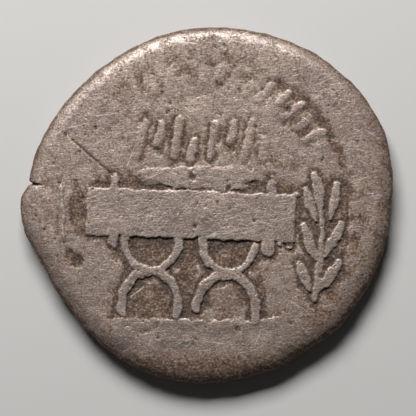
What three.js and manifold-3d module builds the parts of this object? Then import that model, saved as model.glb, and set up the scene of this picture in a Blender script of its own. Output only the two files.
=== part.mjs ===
// A worn silver coin of the first century BC, struck by hand on a flan that is not quite round.
// It lies flat. The side that shows has a folding chair, a laurel branch and rows of strokes, and
// the underside has a plain boss in a wreath. Millimetres, +Z up, +Y towards the top of the design,
// origin on the ground under the middle of the coin. Bearings are degrees anticlockwise from +X.

import * as THREE from 'three';
import { mergeVertices } from 'three/addons/utils/BufferGeometryUtils.js';
import Module from 'manifold-3d';

const wasm = await Module();
wasm.setup();

// The flan's outline: a mean radius, slow waves, and the dents and swellings of its edge
const MEAN_RADIUS = 9.16;
const OUTLINE_WAVES = [
  { lobes: 1, rise: 0.28, bearing: 29 },
  { lobes: 2, rise: 0.18, bearing: 25 },
  { lobes: 3, rise: 0.13, bearing: 36 },
  { lobes: 4, rise: 0.04, bearing: -6 },
  { lobes: 5, rise: 0.07, bearing: 32 },
];
const EDGE_MARKS = [
  { bearing: 0, spread: 4, out: -0.07 },
  { bearing: 22, spread: 5, out: 0.06 },
  { bearing: 45, spread: 6, out: -0.06 },
  { bearing: 217, spread: 4, out: -0.06 },
  { bearing: 292, spread: 4, out: 0.05 },
  { bearing: 303, spread: 5, out: -0.06 },
  { bearing: 317, spread: 4, out: 0.07 },
];
const LIP = { starts: 172.5, full: 178.5, eases: 184, ends: 201, out: 0.38 };

// The flan's section: the rim and the boss of the underside lie on the ground
const WAIST_HEIGHT = 0.74;
const MARGIN_HEIGHT = 1.48;
const FIELD_HEIGHT = 1.54;
const NOMINAL_SHOULDER = 1;
const SHOULDER_NARROW = 0.7;
const SHOULDER_WIDE = 1.8;
const WIDEST_BEARING = 285;
const SHOULDER_SQUARENESS = 3;
const SHOULDER_BELOW = 0.55;
const DISH_DEPTH = 0.13;
const DISH_FLOOR_RADIUS = 6.85;
const DISH_BANK_RADIUS = 7.25;
const SEGMENTS = 90;
const SHOULDER_STEPS = 5;
const DOME_STEPS = 5;

// Relief: how far it stands up, the moats cut round it, and its worn shoulders
const CHAIR_RISE = 0.17;
const LEAF_RISE = 0.13;
const STROKE_RISE = 0.1;
const LOW_RISE = 0.06;
const MOAT_DEPTH = 0.12;
const SHALLOW_MOAT_DEPTH = 0.08;
const BURIED = 0.4;
const WEAR = 0.08;

// The chair, in the seat's own frame: u along the seat, v up the coin
const SEAT = { x: -0.85, y: -0.44, tilt: -2.1, length: 10.6, depth: 2.45, corner: 0.12 };
const POSTS = [
  { u: -3.9, foot: 1.1, head: 1.7, width: 0.4 },
  { u: 4.1, foot: 1.1, head: 1.62, width: 0.48 },
];
const KNOBS = [
  { u: -3.86, foot: -1.56, head: -1.1, width: 0.54 },
  { u: 3.98, foot: -1.62, head: -1.1, width: 0.72 },
];
const CUSHION = [[-3.1, 1.4], [2.85, 1.44], [3.45, 2.2], [2.95, 2.56], [-2.4, 2.42]];
const LEGS = [
  { u: -1.93, v: -1.37, across: 1.38, down: 1.53, from: 175, to: 365, width: 0.42 },
  { u: -1.91, v: -4.68, across: 1.43, down: 1.78, from: -16, to: 194, width: 0.49 },
  { u: 2.0, v: -1.37, across: 1.33, down: 1.48, from: 178, to: 356, width: 0.42 },
  { u: 1.97, v: -4.8, across: 1.53, down: 1.84, from: -14, to: 178, width: 0.49 },
];
const LEG_KNOTS = [
  { u: -1.8, v: -2.94, length: 0.65, width: 0.58 },
  { u: 2.12, v: -3.0, length: 0.6, width: 0.62 },
];
const LEG_STEPS = 14;

// The ground below the feet, whose top leans down into the margin
const GROUND = { left: -4.85, right: 4.7, sag: 0.2, line: -5.6, reach: 8.1, lean: 4 };

// The laurel branch on the right, stem from foot to head, and its leaves from foot to tip
const STEM = [
  [5.44, -4.7], [5.57, -3.77], [5.67, -3.1], [5.78, -2.16], [5.82, -1.31], [5.74, -0.46], [5.74, 0.3],
];
const STEM_WIDTH = 0.32;
const STEM_STEPS = 12;
const LEAVES = [
  { foot: [5.23, -4.28], tip: [4.65, -2.94], width: 0.56 },
  { foot: [5.62, -4.4], tip: [6.64, -2.93], width: 0.62 },
  { foot: [5.52, -2.75], tip: [4.9, -1.02], width: 0.58 },
  { foot: [5.97, -2.55], tip: [6.82, -0.9], width: 0.58 },
  { foot: [5.52, -0.71], tip: [4.94, 0.84], width: 0.52 },
  { foot: [6.27, -0.63], tip: [6.6, 1.13], width: 0.52 },
  { foot: [5.78, -0.25], tip: [5.47, 1.6], width: 0.56 },
];
const LEAF_STEPS = 3;
const LEAF_SINE = { from: 0.1, to: 0.8, power: 0.8 };

// Rows of strokes in the place of an inscription
const STROKE_WIDTH = 0.42;
const STROKE_LEAN = 11;
const BAR_END_STEPS = 3;
const STROKE_CUTS = [[0, 1], [0.42, 1], [0, 1], [0, 0.55]];
const STRAIGHT_ROW = { left: -3.4, right: 3, foot: 2.5, head: 4.2, strokes: 8 };
const CURVED_ROW = { from: 122, to: 26, foot: 5.95, head: 7, strokes: 13 };

// A low upright ridge on the left, and what is left of the border on the right
const RIDGE = { x: -7.3, foot: -1.85, head: 0.9, width: 0.26 };
const BORDER = { radius: 7.28, from: 14, to: 64, width: 0.5 };

// Moats on the side that shows: middle, half sizes and depth
const MOATS = [
  { x: -1.0, y: -3.5, across: 4.1, down: 2.05, depth: MOAT_DEPTH },
  { x: -0.75, y: 1.1, across: 4.9, down: 0.55, depth: SHALLOW_MOAT_DEPTH },
  { x: -6.55, y: -0.25, across: 0.5, down: 1.3, depth: SHALLOW_MOAT_DEPTH },
  { x: 5.75, y: -1.5, across: 1.25, down: 3.1, depth: MOAT_DEPTH },
  { x: 0.0, y: 3.3, across: 2.7, down: 0.95, depth: SHALLOW_MOAT_DEPTH },
];
const MOAT_BANK = 0.3;
const MOAT_CORNER = 0.9;

// A crack that runs in from the edge beside the lip
const CRACK = { bearing: 172.7, from: 8.4, to: 9.7, width: 0.12, depth: 0.3 };

// The underside: a boss, a wreath round it and a ring of strokes
const BOSS_RADIUS = 1.5;
const BOSS_SIDES = 28;
const WREATH = { radius: 4.2, pairs: 13, length: 1.7, width: 0.6, lean: 24, gap: 0.32 };
const RING = { foot: 6.05, head: 6.85, strokes: 24 };

const SILVER = { color: 0x938377, roughness: 0.5, metalness: 0.85 };

const radians = THREE.MathUtils.degToRad;
const EXTRA_HEIGHT = 1;
const ROUNDING = 1e-6;
const MERGE_DISTANCE = 1e-5;

// Shortest turn between two bearings, in degrees.
function turnBetween(a, b) {
  return ((a - b + 540) % 360) - 180;
}

// Distance from the middle to the edge at a bearing.
function flanRadius(bearing) {
  let radius = MEAN_RADIUS;
  for (const wave of OUTLINE_WAVES) {
    radius += wave.rise * Math.cos(radians(wave.lobes * (bearing - wave.bearing)));
  }
  for (const mark of EDGE_MARKS) {
    radius += mark.out * Math.exp(-((turnBetween(bearing, mark.bearing) / mark.spread) ** 2));
  }
  const opened = THREE.MathUtils.smoothstep(bearing, LIP.starts, LIP.full);
  const closed = THREE.MathUtils.smoothstep(bearing, LIP.eases, LIP.ends);
  return radius + LIP.out * (opened - closed);
}

// Width of the rounded shoulder above the waist: narrow for most of the way, wide at the foot.
function shoulderAbove(bearing) {
  const towardsFoot = ((1 + Math.cos(radians(bearing - WIDEST_BEARING))) / 2) ** 3;
  return THREE.MathUtils.lerp(SHOULDER_NARROW, SHOULDER_WIDE, towardsFoot);
}

// Height of the gently domed field, ignoring the relief.
function fieldHeight(x, y) {
  const reach = Math.min(1, Math.hypot(x, y) / (MEAN_RADIUS - NOMINAL_SHOULDER));
  return FIELD_HEIGHT - (FIELD_HEIGHT - MARGIN_HEIGHT) * reach ** 4;
}

// Section of a round flan, from the middle of the underside out round the edge to the middle of the top.
// The lower edge is a quarter of an ellipse, and the shoulder above the waist is squarer.
function flanSection() {
  const inner = MEAN_RADIUS - NOMINAL_SHOULDER;
  const points = [
    new THREE.Vector2(0, DISH_DEPTH),
    new THREE.Vector2(DISH_FLOOR_RADIUS / 2, DISH_DEPTH),
    new THREE.Vector2(DISH_FLOOR_RADIUS, DISH_DEPTH),
    new THREE.Vector2(DISH_BANK_RADIUS, 0),
  ];
  for (let step = 0; step <= SHOULDER_STEPS; step += 1) {
    const turn = (Math.PI / 2) * (step / SHOULDER_STEPS);
    const radius = inner + NOMINAL_SHOULDER * Math.sin(turn);
    points.push(new THREE.Vector2(radius, WAIST_HEIGHT * (1 - Math.cos(turn))));
  }
  for (let step = 1; step <= SHOULDER_STEPS; step += 1) {
    const out = Math.cos((Math.PI / 2) * (step / SHOULDER_STEPS));
    const arch = Math.max(0, 1 - out ** SHOULDER_SQUARENESS) ** (1 / SHOULDER_SQUARENESS);
    const height = WAIST_HEIGHT + (MARGIN_HEIGHT - WAIST_HEIGHT) * arch;
    points.push(new THREE.Vector2(inner + NOMINAL_SHOULDER * out, height));
  }
  for (let step = DOME_STEPS - 1; step >= 0; step -= 1) {
    const radius = inner * (step / DOME_STEPS);
    points.push(new THREE.Vector2(radius, fieldHeight(radius, 0)));
  }
  return points;
}

// The flan: its section turned on a lathe, then each point moved out to the uneven outline.
function flan() {
  const geometry = new THREE.LatheGeometry(flanSection(), SEGMENTS);
  geometry.rotateX(Math.PI / 2);
  const inner = MEAN_RADIUS - NOMINAL_SHOULDER;
  const place = geometry.attributes.position;
  for (let index = 0; index < place.count; index += 1) {
    const x = place.getX(index);
    const y = place.getY(index);
    const nominal = Math.hypot(x, y);
    if (nominal < ROUNDING) {
      place.setXY(index, 0, 0);
      continue;
    }
    const step = Math.round((THREE.MathUtils.radToDeg(Math.atan2(y, x)) + 360) / (360 / SEGMENTS));
    const bearing = (step % SEGMENTS) * (360 / SEGMENTS);
    const above = place.getZ(index) > WAIST_HEIGHT - ROUNDING;
    const shoulder = above ? shoulderAbove(bearing) : SHOULDER_BELOW;
    const edge = flanRadius(bearing);
    const inShoulder = nominal > inner;
    const inset = ((MEAN_RADIUS - nominal) / NOMINAL_SHOULDER) * shoulder;
    const radius = inShoulder ? edge - inset : (nominal / inner) * (edge - shoulder);
    place.setXY(index, radius * Math.cos(radians(bearing)), radius * Math.sin(radians(bearing)));
  }
  return solid(geometry);
}

// Makes a closed geometry into a solid that can be joined and cut.
function solid(geometry) {
  const bare = geometry.clone();
  bare.deleteAttribute('normal');
  bare.deleteAttribute('uv');
  const merged = mergeVertices(bare, MERGE_DISTANCE);
  const vertProperties = new Float32Array(merged.attributes.position.array);
  const triVerts = new Uint32Array(merged.index.array);
  return new wasm.Manifold(new wasm.Mesh({ numProp: 3, vertProperties, triVerts }));
}

function join(solids) {
  return solids.reduce((whole, piece) => whole.add(piece));
}

// A body over an outline whose far end has a worn shoulder. It stands from low to high.
function bodyOver(outline, low, high, wear) {
  const geometry = new THREE.ExtrudeGeometry(new THREE.Shape(outline), {
    depth: high - low - 2 * wear,
    bevelEnabled: true,
    bevelThickness: wear,
    bevelSize: wear,
    bevelOffset: -wear,
    bevelSegments: 1,
  });
  geometry.translate(0, 0, low + wear);
  return geometry;
}

function middleOf(outline) {
  const box = new THREE.Box2().setFromPoints(outline);
  return box.getCenter(new THREE.Vector2());
}

// Relief on the side that shows, standing up from the field under its own middle.
function raised(outline, rise, wear = WEAR) {
  const middle = middleOf(outline);
  const level = fieldHeight(middle.x, middle.y);
  return solid(bodyOver(outline, level - BURIED, level + rise, wear));
}

// Relief on the underside, whose worn tops all lie on the ground.
function raisedBelow(outline) {
  return solid(bodyOver(outline, 0, BURIED, WEAR));
}

// A moat with sloping banks, from its floor up into the air.
function moat({ x, y, across, down, depth }) {
  const outline = roundedBox(x, y, across - MOAT_BANK, down - MOAT_BANK, MOAT_CORNER);
  const floor = fieldHeight(x, y) - depth;
  const geometry = new THREE.ExtrudeGeometry(new THREE.Shape(outline), {
    depth: EXTRA_HEIGHT,
    bevelEnabled: true,
    bevelThickness: depth + SHALLOW_MOAT_DEPTH,
    bevelSize: 2 * MOAT_BANK,
    bevelSegments: 1,
  });
  geometry.translate(0, 0, floor + depth + SHALLOW_MOAT_DEPTH);
  return solid(geometry);
}

// Points of an arc, both ends included.
function arcPoints(x, y, across, down, from, to, steps) {
  const points = [];
  for (let step = 0; step <= steps; step += 1) {
    const turn = radians(THREE.MathUtils.lerp(from, to, step / steps));
    points.push(new THREE.Vector2(x + across * Math.cos(turn), y + down * Math.sin(turn)));
  }
  return points;
}

// A box with round corners, given its middle and half sizes.
function roundedBox(x, y, across, down, corner) {
  const r = Math.min(corner, across, down);
  const corners = [[1, 1, 0], [-1, 1, 90], [-1, -1, 180], [1, -1, 270]];
  return corners.flatMap(([sideX, sideY, from]) =>
    arcPoints(x + sideX * (across - r), y + sideY * (down - r), r, r, from, from + 90, 3));
}

// A straight bar with round ends.
function bar(start, end, width) {
  const bearing = THREE.MathUtils.radToDeg(Math.atan2(end[1] - start[1], end[0] - start[0]));
  const r = width / 2;
  return [
    ...arcPoints(start[0], start[1], r, r, bearing + 90, bearing + 270, BAR_END_STEPS),
    ...arcPoints(end[0], end[1], r, r, bearing - 90, bearing + 90, BAR_END_STEPS),
  ];
}

// A band of even width along an arc of an ellipse, with round ends.
function curvedBar({ x, y, across, down, from, to, width, steps }) {
  const r = width / 2;
  const outer = arcPoints(x, y, across + r, down + r, from, to, steps);
  const inner = arcPoints(x, y, across - r, down - r, to, from, steps);
  const [last] = arcPoints(x, y, across, down, to, to, 1);
  const [first] = arcPoints(x, y, across, down, from, from, 1);
  const farEnd = arcPoints(last.x, last.y, r, r, to + 45, to + 135, 2);
  const nearEnd = arcPoints(first.x, first.y, r, r, from - 135, from - 45, 2);
  return [...outer, ...farEnd, ...inner, ...nearEnd];
}

// A blunt leaf with a round tip, whose width follows part of a sine from its foot.
function leaf(foot, tip, width) {
  const start = new THREE.Vector2(...foot);
  const along = new THREE.Vector2(...tip).sub(start);
  const side = new THREE.Vector2(-along.y, along.x).normalize();
  const half = (share) => {
    const turn = Math.PI * THREE.MathUtils.lerp(LEAF_SINE.from, LEAF_SINE.to, share);
    return (width / 2) * Math.sin(turn) ** LEAF_SINE.power;
  };
  const edge = (sign) => {
    const points = [];
    for (let step = 0; step < LEAF_STEPS; step += 1) {
      const share = step / LEAF_STEPS;
      const spine = start.clone().addScaledVector(along, share);
      points.push(spine.addScaledVector(side, sign * half(share)));
    }
    return points;
  };
  const bearing = THREE.MathUtils.radToDeg(along.angle());
  const end = arcPoints(tip[0], tip[1], half(1), half(1), bearing - 90, bearing + 90, 2);
  return [...edge(-1), ...end, ...edge(1).reverse()];
}

// Moves an outline from the seat's frame to the coin's.
function fromSeat(outline) {
  const origin = new THREE.Vector2(0, 0);
  const seat = new THREE.Vector2(SEAT.x, SEAT.y);
  return outline.map((point) => point.clone().rotateAround(origin, radians(SEAT.tilt)).add(seat));
}

function chair() {
  const seat = roundedBox(0, 0, SEAT.length / 2, SEAT.depth / 2, SEAT.corner);
  const cushion = CUSHION.map(([u, v]) => new THREE.Vector2(u, v));
  const uprights = [...POSTS, ...KNOBS].map(({ u, foot, head, width }) =>
    bar([u, foot], [u, head], width));
  const knots = LEG_KNOTS.map(({ u, v, length, width }) =>
    bar([u - length / 2, v], [u + length / 2, v], width));
  const legs = LEGS.map(({ u, v, ...arc }) => curvedBar({ x: u, y: v, ...arc, steps: LEG_STEPS }));
  const level = fieldHeight(SEAT.x, SEAT.y);
  const bodies = [...uprights, ...knots, ...legs].map((outline) =>
    solid(bodyOver(fromSeat(outline), level - BURIED, level + CHAIR_RISE - WEAR / 2, WEAR)));
  bodies.push(solid(bodyOver(fromSeat(cushion), level - BURIED, level + LEAF_RISE, WEAR)));
  bodies.push(solid(bodyOver(fromSeat(seat), level - BURIED, level + CHAIR_RISE, WEAR)));
  return join(bodies);
}

function ground() {
  const { left, right, sag, line, reach, lean } = GROUND;
  const upper = arcPoints((left + right) / 2, line, (right - left) / 2, -sag, 180, 0, 8).reverse();
  const from = THREE.MathUtils.radToDeg(Math.atan2(line, left));
  const to = THREE.MathUtils.radToDeg(Math.atan2(line, right));
  const lower = arcPoints(0, 0, reach, reach, from, to, 10);
  const level = fieldHeight(0, line);
  const body = bodyOver([...upper, ...lower], level - BURIED, level + LOW_RISE, LOW_RISE);
  body.translate(0, -line, -level);
  body.rotateX(radians(lean));
  body.translate(0, line, level);
  return solid(body);
}

function branch() {
  const spine = new THREE.CatmullRomCurve3(STEM.map(([x, y]) => new THREE.Vector3(x, y, 0)));
  const points = spine.getPoints(STEM_STEPS);
  const offset = (index, sign) => {
    const tangent = spine.getTangent(index / STEM_STEPS);
    const { x, y } = points[index];
    const reach = (sign * STEM_WIDTH) / 2;
    return new THREE.Vector2(x - tangent.y * reach, y + tangent.x * reach);
  };
  const rightSide = points.map((_, index) => offset(index, -1));
  const leftSide = points.map((_, index) => offset(index, 1)).reverse();
  const stem = raised([...rightSide, ...leftSide], LEAF_RISE);
  return join([stem, ...LEAVES.map(({ foot, tip, width }) => raised(leaf(foot, tip, width), LEAF_RISE))]);
}

// One stroke of a row, between shares of the row's height, leaning a little.
function stroke(place, index, foot, head) {
  const [low, high] = STROKE_CUTS[index % STROKE_CUTS.length];
  const start = place(THREE.MathUtils.lerp(foot, head, low));
  const end = place(THREE.MathUtils.lerp(foot, head, high));
  return bar(start, end, STROKE_WIDTH);
}

function straightRow() {
  const { left, right, foot, head, strokes } = STRAIGHT_ROW;
  const slope = Math.tan(radians(STROKE_LEAN));
  const solids = [];
  for (let index = 0; index < strokes; index += 1) {
    const x = THREE.MathUtils.lerp(left, right, index / (strokes - 1));
    const place = (height) => [x + (height - (foot + head) / 2) * slope, height];
    solids.push(raised(stroke(place, index, foot, head), STROKE_RISE));
  }
  return join(solids);
}

// Strokes that stand like spokes between two radii, leaning a little.
function spokes(foot, head, from, to, count, raise) {
  const middle = (foot + head) / 2;
  const solids = [];
  for (let index = 0; index < count; index += 1) {
    const bearing = THREE.MathUtils.lerp(from, to, index / count);
    const place = (radius) => {
      const lean = ((radius - middle) / middle) * STROKE_LEAN;
      const turn = radians(bearing - lean);
      return [radius * Math.cos(turn), radius * Math.sin(turn)];
    };
    solids.push(raise(stroke(place, index, foot, head)));
  }
  return join(solids);
}

function curvedRow() {
  const { from, to, foot, head, strokes } = CURVED_ROW;
  return spokes(foot, head, from, to, strokes, (outline) => raised(outline, LOW_RISE, LOW_RISE / 2));
}

function ridge() {
  const { x, foot, head, width } = RIDGE;
  return raised(bar([x, foot], [x, head], width), LOW_RISE, LOW_RISE / 2);
}

// The sunken line that is left of the border.
function borderCut() {
  const { radius, from, to, width } = BORDER;
  const arc = { x: 0, y: 0, across: radius, down: radius, from, to, width: width / 2, steps: 12 };
  const outline = curvedBar(arc);
  const middle = middleOf(outline);
  const floor = fieldHeight(middle.x, middle.y) - SHALLOW_MOAT_DEPTH;
  const geometry = new THREE.ExtrudeGeometry(new THREE.Shape(outline), {
    depth: EXTRA_HEIGHT,
    bevelEnabled: true,
    bevelThickness: 2 * SHALLOW_MOAT_DEPTH,
    bevelSize: width / 2,
    bevelSegments: 1,
  });
  geometry.translate(0, 0, floor + 2 * SHALLOW_MOAT_DEPTH);
  return solid(geometry);
}

function crackCut() {
  const { bearing, from, to, width, depth } = CRACK;
  const geometry = new THREE.BoxGeometry(to - from, width, 2 * EXTRA_HEIGHT);
  geometry.translate((from + to) / 2, 0, MARGIN_HEIGHT - depth + EXTRA_HEIGHT);
  geometry.rotateZ(radians(bearing));
  return solid(geometry);
}

function wreath() {
  const { radius, pairs, length, width, lean, gap } = WREATH;
  const solids = [];
  for (let pair = 0; pair < pairs; pair += 1) {
    for (const side of [-1, 1]) {
      const from = radians((360 / pairs) * pair);
      const way = from + radians(90 + side * lean);
      const reach = radius - (side * gap) / 2;
      const foot = [reach * Math.cos(from), reach * Math.sin(from)];
      const tip = [foot[0] + length * Math.cos(way), foot[1] + length * Math.sin(way)];
      solids.push(raisedBelow(leaf(foot, tip, width)));
    }
  }
  return join(solids);
}

function boss() {
  const last = 360 * (1 - 1 / BOSS_SIDES);
  return raisedBelow(arcPoints(0, 0, BOSS_RADIUS, BOSS_RADIUS, 0, last, BOSS_SIDES - 1));
}

function underRing() {
  return spokes(RING.foot, RING.head, 0, 360, RING.strokes, raisedBelow);
}

function coinGeometry() {
  const cuts = join([...MOATS.map(moat), borderCut()]);
  const relief = join([chair(), ground(), branch(), straightRow(), curvedRow(), ridge()]);
  const below = join([boss(), wreath(), underRing()]);
  const coin = flan().subtract(cuts).add(relief).add(below).subtract(crackCut());
  const { vertProperties, triVerts } = coin.getMesh();
  const geometry = new THREE.BufferGeometry();
  geometry.setAttribute('position', new THREE.BufferAttribute(vertProperties, 3));
  geometry.setIndex(new THREE.BufferAttribute(triVerts, 1));
  geometry.computeVertexNormals();
  return geometry;
}

const coin = new THREE.Mesh(coinGeometry(), new THREE.MeshStandardMaterial(SILVER));
coin.name = 'coin';

const part = new THREE.Group();
part.add(coin);

export default part;
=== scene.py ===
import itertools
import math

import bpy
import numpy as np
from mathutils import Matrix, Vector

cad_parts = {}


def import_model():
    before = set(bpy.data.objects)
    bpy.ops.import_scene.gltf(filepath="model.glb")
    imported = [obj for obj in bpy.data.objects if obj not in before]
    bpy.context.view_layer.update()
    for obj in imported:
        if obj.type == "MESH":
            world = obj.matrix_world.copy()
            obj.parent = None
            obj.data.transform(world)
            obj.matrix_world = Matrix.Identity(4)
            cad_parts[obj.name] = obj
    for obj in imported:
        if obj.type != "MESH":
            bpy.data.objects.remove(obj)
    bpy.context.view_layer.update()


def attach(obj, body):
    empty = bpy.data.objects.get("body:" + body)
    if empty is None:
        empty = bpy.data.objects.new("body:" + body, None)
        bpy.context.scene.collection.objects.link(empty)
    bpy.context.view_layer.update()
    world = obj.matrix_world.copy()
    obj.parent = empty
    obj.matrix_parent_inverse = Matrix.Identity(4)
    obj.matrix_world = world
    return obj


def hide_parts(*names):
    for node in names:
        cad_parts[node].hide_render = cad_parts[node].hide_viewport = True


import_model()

# A worn silver coin lying flat, seen from straight above. Forms are worked out in millimetres, with
# +X to the right of the design, +Y towards its top and +Z up, and go into the meshes in metres.
# Bearings are degrees anticlockwise from +X. A pair that smooth takes says where it is 0 and where 1,
# and the four that between takes say where it starts to rise, is 1, starts to fall and is 0 again.

MM = 0.001

# Flan: outline as a mean radius, slow waves (lobes, rise, bearing of a peak), and the dents and
# swellings of the edge (bearing, spread, distance out)
MEAN_RADIUS = 9.16
OUTLINE_WAVES = [(1, 0.28, 29), (2, 0.18, 25), (3, 0.13, 36), (4, 0.04, -6), (5, 0.07, 32)]
EDGE_MARKS = [
    (0, 4, -0.07), (22, 5, 0.06), (45, 6, -0.06), (217, 4, -0.06),
    (292, 4, 0.05), (303, 5, -0.06), (317, 4, 0.07),
]
LIP_STARTS, LIP_FULL, LIP_EASES, LIP_ENDS, LIP_OUT = 172.5, 178.5, 184, 201, 0.38

# Flan: section
WAIST_HEIGHT = 0.74
MARGIN_HEIGHT = 1.48
FIELD_HEIGHT = 1.54
DOME_POWER = 4
NOMINAL_SHOULDER = 1.0
SHOULDER_NARROW = 0.7
SHOULDER_WIDE = 1.8
WIDEST_BEARING = 285
WIDENING_POWER = 3
SHOULDER_SQUARENESS = 2.5
SHOULDER_BELOW = 0.55
DISH_DEPTH = 0.13
DISH_FLOOR_RADIUS = 6.85
DISH_BANK_RADIUS = 7.25

# Maps of each side, square, with a height at every point
MAP_STEP = 0.03
MAP_POINTS = 656

# Grid of the skin before it is thinned to the triangles that the relief needs
COLUMNS = 1200
TOP_ROWS = 184
SHOULDER_ROWS = 32
LOWER_ROWS = 14
UNDER_ROWS = 100
SKIN_SPACING = (0.05, 0.048)
MOST_TRIANGLES = 190_000

# Discs of the UV map: middle and radius, and what the widest flan has over the mean radius
TOP_DISC = (0.37, 0.63, 0.36)
UNDER_DISC = (0.79, 0.21, 0.2)
WIDEST_OVER_MEAN = 1.4

# Relief: heights over the smooth dome. The field has worn down nearly to the level of the forms, and
# hollows round the forms and between them are partly filled with dirt.
FIELD_RISE = 0.07
FIELD_STARTS_IN = (0.05, 0.85)
SEAT_RISE = 0.12
LEG_RISE = 0.115
LEAF_RISE = 0.11
CUSHION_RISE = 0.088
STROKE_RISE = 0.088
GROUND_RISE = 0.022
FILLED = 0.45

# Width of the bank that a form rises over, and the share by which its worn edge is lower than its
# middle, which dies away over the crown's width
SEAT_BANK, SEAT_CROWN = 0.07, 0.05
FRAME_BANK = 0.09
BRANCH_BANK = 0.1
CUSHION_BANK = 0.2
STROKE_BANK = 0.2
GROUND_BANK = 0.22
RIDGE_BANK = 0.16
CROWN = 0.1
CROWN_WIDTH = 0.08

# Hollow round each form: depth, and reach of its bank. A share of each depth is the same all round,
# and the hollows' edges are blurred.
SEAT_HOLLOW = (0.055, 0.35)
FRAME_HOLLOW = (0.1, 0.35)
LEG_HOLLOW = (0.13, 0.55)
CUSHION_HOLLOW = (0.04, 0.25)
BRANCH_HOLLOW = (0.12, 0.4)
STRAIGHT_HOLLOW = (0.075, 0.45)
CURVED_HOLLOW = (0.06, 0.4)
GROUND_HOLLOW = (0.07, 0.25)
BORDER_HOLLOW = (0.09, 0.2)
EVEN_SHARE = 0.6
SUNK_BLUR = 0.035

# A band's distance is worked out only this near its path, and is this far elsewhere
NEAR = 1.4
FAR = 3.0

# Chair, in the seat's own frame: u along the seat, v up the coin. Posts, knobs and the teeth beside
# them are u, v from and to, and half width. Legs are arcs of ellipses: middle, half sizes, bearings
# from and to, and half width. Leg knots are u from and to, v and half width.
SEAT_MIDDLE, SEAT_TILT = (-0.85, -0.44), -2.1
SEAT_HALF, SEAT_CORNER = (5.3, 1.22), 0.08
POSTS = [(-3.9, 1.1, 1.74, 0.24), (4.1, 1.1, 1.66, 0.28)]
KNOBS = [
    (-3.86, -1.1, -1.58, 0.27), (3.98, -1.1, -1.66, 0.35),
    (4.55, -1.15, -1.32, 0.13), (5.05, -1.1, -1.42, 0.15), (5.3, 1.16, 1.2, 0.12),
]
LEGS = [
    ((-1.93, -1.37, 1.38, 1.53, 175, 365), 0.21),
    ((-1.91, -4.68, 1.43, 1.78, -16, 194), 0.245),
    ((2.0, -1.37, 1.33, 1.48, 178, 356), 0.21),
    ((1.97, -4.8, 1.53, 1.84, -14, 178), 0.245),
]
LEG_KNOTS = [(-2.15, -1.45, -2.94, 0.28), (1.82, 2.42, -3.0, 0.3)]

# Cups between the legs, in the seat's frame: middle, half sizes, depth and reach of the bank. A
# channel runs down between the two pairs.
CUPS = [
    (-1.93, -1.7, 0.95, 0.95, 0.15, 0.4), (2.0, -1.7, 0.95, 0.95, 0.15, 0.4),
    (-1.93, -4.7, 0.8, 0.9, 0.09, 0.5), (2.0, -4.7, 0.8, 0.9, 0.05, 0.5),
]
BETWEEN_PAIRS, BETWEEN_HALF, BETWEEN_HOLLOW = [(0.02, -1.5), (0.02, -5.0)], 0.25, (0.15, 0.35)

# Cushion, in the seat's frame: its upper roll, its foot, and the dirty pockets worn into it, by
# middle, half sizes, depth and reach of the bank. It ends a little outside each pocket, and its own
# hollow lies only over its top.
CUSHION = [(-2.45, 1.95), (-1.2, 1.96), (0.6, 1.98), (2.2, 2.03), (2.95, 2.1)]
CUSHION_HALVES = [0.28, 0.43, 0.47, 0.46, 0.32]
CUSHION_FOOT, CUSHION_FOOT_HALF = [(-1.2, 1.5), (2.3, 1.5)], 0.3
CUSHION_HOLLOW_OVER = 2.0
POCKET_EDGE = 0.05
POCKETS = [
    (-4.6, 1.38, 0.4, 0.1, 0.12, 0.25), (-3.35, 1.45, 0.2, 0.12, 0.1, 0.2),
    (-2.95, 1.5, 0.5, 0.22, 0.11, 0.25), (-1.75, 1.36, 0.62, 0.1, 0.12, 0.2),
    (-0.5, 1.24, 0.22, 0.07, 0.2, 0.12), (0.0, 1.95, 0.12, 0.16, 0.05, 0.25),
    (0.6, 1.28, 0.6, 0.03, 0.08, 0.15), (1.88, 1.45, 0.07, 0.2, 0.1, 0.16),
    (2.4, 1.3, 0.5, 0.05, 0.1, 0.2), (3.3, 1.6, 0.42, 0.22, 0.16, 0.2),
    (4.75, 1.36, 0.25, 0.06, 0.08, 0.2),
]

# Branch: stem from foot to head, and leaves from foot to tip with the widest half width. A leaf's
# half width follows a sine between two shares of its half turn, to a power.
STEM = [
    (5.44, -4.7), (5.57, -3.77), (5.67, -3.1), (5.78, -2.16),
    (5.82, -1.31), (5.74, -0.46), (5.74, 0.3),
]
STEM_HALVES = [0.17, 0.2, 0.2, 0.16, 0.12, 0.13, 0.17]
LEAVES = [
    ((5.23, -4.28), (4.65, -2.94), 0.28),
    ((5.62, -4.4), (6.64, -2.93), 0.31),
    ((5.52, -2.75), (4.9, -1.02), 0.29),
    ((5.97, -2.55), (6.82, -0.9), 0.29),
    ((5.52, -0.71), (4.94, 0.84), 0.26),
    ((6.27, -0.63), (6.6, 1.13), 0.26),
    ((5.78, -0.25), (5.47, 1.6), 0.28),
]
LEAF_SINE_FROM, LEAF_SINE_SPAN, LEAF_SINE_POWER = 0.08, 0.72, 0.8
LEAF_POINTS = 9

# Ground under the chair, the recess of the border on the right, and its ridge on the left
GROUND_LINE = [(-4.9, -5.64), (-0.1, -5.8), (2.7, -5.7), (4.6, -5.42)]
GROUND_HALF = 4.85
GROUND_SWELLS_UP = (-8.0, -6.2)
GROUND_SWELLS_IN = (4.9, 4.3)
BORDER_RADIUS, BORDER_HALF, BORDER_BEARINGS = 7.2, 0.16, (4, 18, 60, 74)
RIDGE, RIDGE_HALF, RIDGE_RISE = [(-7.28, -1.7), (-7.36, 0.9)], 0.09, 0.147

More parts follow.
